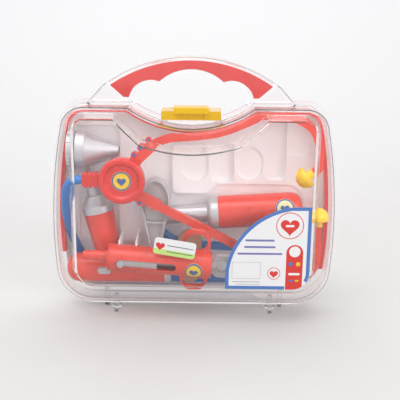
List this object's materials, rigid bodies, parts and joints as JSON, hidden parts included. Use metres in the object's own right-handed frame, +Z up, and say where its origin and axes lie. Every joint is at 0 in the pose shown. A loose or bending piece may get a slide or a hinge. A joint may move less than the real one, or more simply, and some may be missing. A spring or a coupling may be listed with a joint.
{
  "type": "toy doctor case",
  "caption": "Clear clamshell toy doctor case with an arched handle, a latch and toy medical instruments lying in a moulded tray.",
  "frame": {"origin": "middle of the case at its lowest point, on the surface that its feet stand on", "axes": "+Z up to the handle, -Y out of the front window, +X to the right as seen from the front; the two halves meet at y = 0"},
  "size_m": [0.292, 0.0883, 0.2655],
  "materials": {
    "clear_shell": "clear, glossy",
    "red_plastic": "glossy, slightly pearly",
    "red_trim": "glossy",
    "yellow_plastic": "glossy",
    "blue_tube": "satin",
    "blue_plastic": "glossy",
    "silver_plastic": "metallic paint",
    "grey_plastic": "satin",
    "milky_tray": "thin vacuum-formed sheet",
    "steel_pin": "bright",
    "printed_label": "printed film",
    "tag_film": "printed film",
    "round_sticker": "printed film",
    "clear_lens": "clear",
    "tan_plaster": "soft, matt"
  },
  "bodies": {
    "case": {"back_shell": "clear_shell", "hinge_pins": "steel_pin", "handle_insert": "red_trim", "rim_band": "red_trim", "inner_tray": "milky_tray", "chest_piece": "red_plastic", "diaphragm": "blue_plastic", "chest_sticker": "round_sticker", "hose": "blue_tube", "headset_yoke": "red_plastic", "headset_pin": "grey_plastic", "otoscope_handle": "red_plastic", "otoscope_neck": "silver_plastic", "otoscope_head": "silver_plastic", "otoscope_cone": "silver_plastic", "hammer_head": "grey_plastic", "hammer_neck": "silver_plastic", "hammer_collar": "silver_plastic", "hammer_handle": "red_plastic", "hammer_sticker": "round_sticker", "syringe_barrel": "red_plastic", "syringe_nose": "red_plastic", "syringe_sticker": "round_sticker", "torch_body": "red_plastic", "torch_switch": "grey_plastic", "torch_lens_ring": "silver_plastic", "torch_reflector": "silver_plastic", "torch_lens": "clear_lens", "plaster_strip": "tan_plaster"},
    "lid": {"front_shell": "clear_shell", "label": "printed_label", "tag_sticker": "tag_film"},
    "latch": {"latch": "yellow_plastic", "latch_pin": "steel_pin"},
    "plunger": {"syringe_plunger": "grey_plastic"},
    "wheel": {"otoscope_wheel": "silver_plastic"},
    "upper_headset": {"upper_arm": "red_plastic", "upper_arm_pegs": "blue_plastic", "upper_ear_tip": "yellow_plastic"},
    "lower_headset": {"lower_arm": "red_plastic", "lower_arm_peg": "blue_plastic", "lower_ear_tip": "yellow_plastic"}
  },
  "joints": [
    {"name": "lid_hinge", "type": "hinge", "parent": "case", "child": "lid", "pos_m": [0, 0, 0.0028], "axis": [1, 0, 0], "range_deg": [0, 180]},
    {"name": "latch_hinge", "type": "hinge", "parent": "case", "child": "latch", "pos_m": [0, 0.0075, 0.2066], "axis": [-1, 0, 0], "range_deg": [0, 75]},
    {"name": "plunger_slide", "type": "slide", "parent": "case", "child": "plunger", "axis": [0.9972, 0, -0.075], "range_m": [0, 0.05]},
    {"name": "otoscope_wheel_turn", "type": "hinge", "parent": "case", "child": "wheel", "pos_m": [-0.1238, -0.002, 0.1706], "axis": [1, 0, 0], "continuous": true},
    {"name": "upper_arm_pivot", "type": "hinge", "parent": "case", "child": "upper_headset", "pos_m": [-0.07, -0.018, 0.143], "axis": [0, 1, 0], "range_deg": [0, 1.5]},
    {"name": "lower_arm_pivot", "type": "hinge", "parent": "case", "child": "lower_headset", "pos_m": [-0.07, -0.018, 0.143], "axis": [0, 1, 0], "range_deg": [0, 3]}
  ]
}
